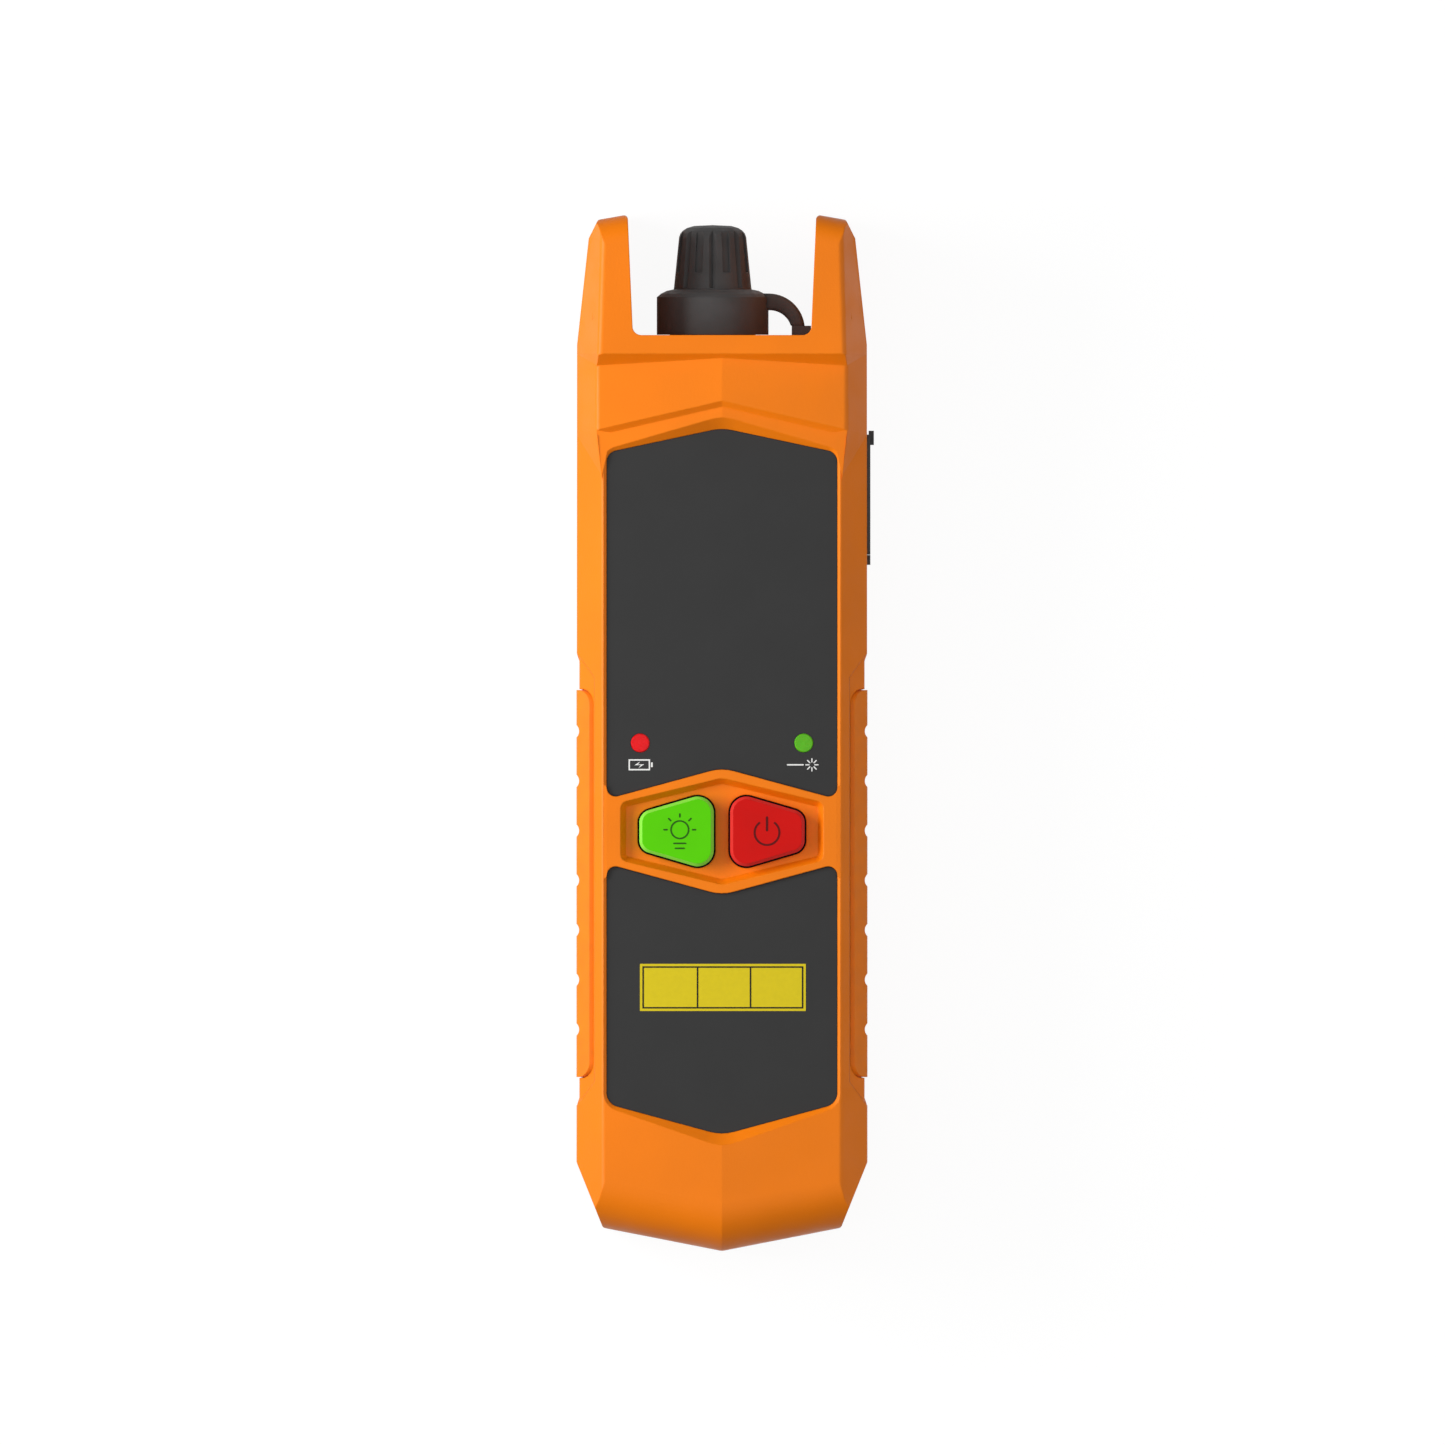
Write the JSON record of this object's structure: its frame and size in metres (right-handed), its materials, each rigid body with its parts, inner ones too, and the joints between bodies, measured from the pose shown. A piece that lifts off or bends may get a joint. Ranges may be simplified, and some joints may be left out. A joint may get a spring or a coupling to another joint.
{
  "type": "visual fault locator",
  "caption": "Pocket fibre-test light source: two-prong case, capped optical port, power and torch buttons, side grips, covered charging socket.",
  "frame": {"origin": "middle of the flat back face, which the case rests on", "axes": "+X across the width (right when seen from the front), +Y along the length towards the optical port, +Z out of the front face"},
  "size_m": [0.0511, 0.178, 0.0304],
  "materials": {
    "orange_case": "fine spark texture",
    "orange_grip": "soft satin",
    "panel_grey": "fine matt",
    "button_green": "semi-gloss",
    "button_red": "semi-gloss",
    "black_rubber": "matt",
    "lamp_red": "smooth, translucent",
    "lamp_green": "smooth, translucent",
    "silicone": "matt",
    "plated_brass": "nickel plated",
    "ceramic_white": "polished",
    "turned_aluminium": "turned",
    "screw_steel": "zinc plated",
    "board_green": "solder mask",
    "component_black": "moulded",
    "battery_wrap": "foil",
    "foam_black": "foam",
    "socket_steel": "plain",
    "clear_lens": "polished",
    "reflector": "mirror"
  },
  "bodies": {
    "case": {"front_shell": "orange_case", "rear_shell": "orange_case", "case_seal": "silicone", "upper_panel": "panel_grey", "lower_panel": "panel_grey", "left_grip_pad": "orange_grip", "right_grip_pad": "orange_grip", "keypad_sheet": "silicone", "power_switch": "component_black", "torch_switch": "component_black", "laser_indicator": "lamp_green", "charge_indicator": "lamp_red", "indicator_lamps": "component_black", "main_board": "board_green", "board_parts": "component_black", "board_screws": "screw_steel", "case_screws": "screw_steel", "battery_cell": "battery_wrap", "battery_foam": "foam_black", "laser_module": "turned_aluminium", "laser_collar": "turned_aluminium", "port_barrel": "plated_brass", "ferrule_sleeve": "ceramic_white", "port_nut": "plated_brass", "port_washer": "screw_steel", "port_seal": "black_rubber", "cap_strap": "black_rubber", "strap_foot": "black_rubber", "torch_lens": "clear_lens", "torch_reflector": "reflector", "torch_lamp": "component_black", "usb_socket": "socket_steel", "port_cover_root": "black_rubber"},
    "torch_button": {"torch_button": "button_green", "torch_switch_plunger": "component_black"},
    "power_button": {"power_button": "button_red", "power_switch_plunger": "component_black"},
    "dust_cap": {"dust_cap": "black_rubber"},
    "port_cover": {"port_cover": "black_rubber"}
  },
  "joints": [
    {"name": "torch_button_press", "type": "slide", "parent": "case", "child": "torch_button", "axis": [0, 0, -1], "range_m": [0, 0.0005], "stiffness_N_per_m": 3000, "springref_m": -0.0002, "deforming": ["keypad_sheet"]},
    {"name": "power_button_press", "type": "slide", "parent": "case", "child": "power_button", "axis": [0, 0, -1], "range_m": [0, 0.0005], "stiffness_N_per_m": 3000, "springref_m": -0.0002, "deforming": ["keypad_sheet"]},
    {"name": "dust_cap_pull", "type": "slide", "parent": "case", "child": "dust_cap", "axis": [0, 1, 0], "range_m": [0, 0.014], "deforming": ["cap_strap"]},
    {"name": "port_cover_swing", "type": "hinge", "parent": "case", "child": "port_cover", "pos_m": [0.0255, 0.0305, 0.0165], "axis": [0, 0, -1], "range_deg": [0, 100]}
  ]
}
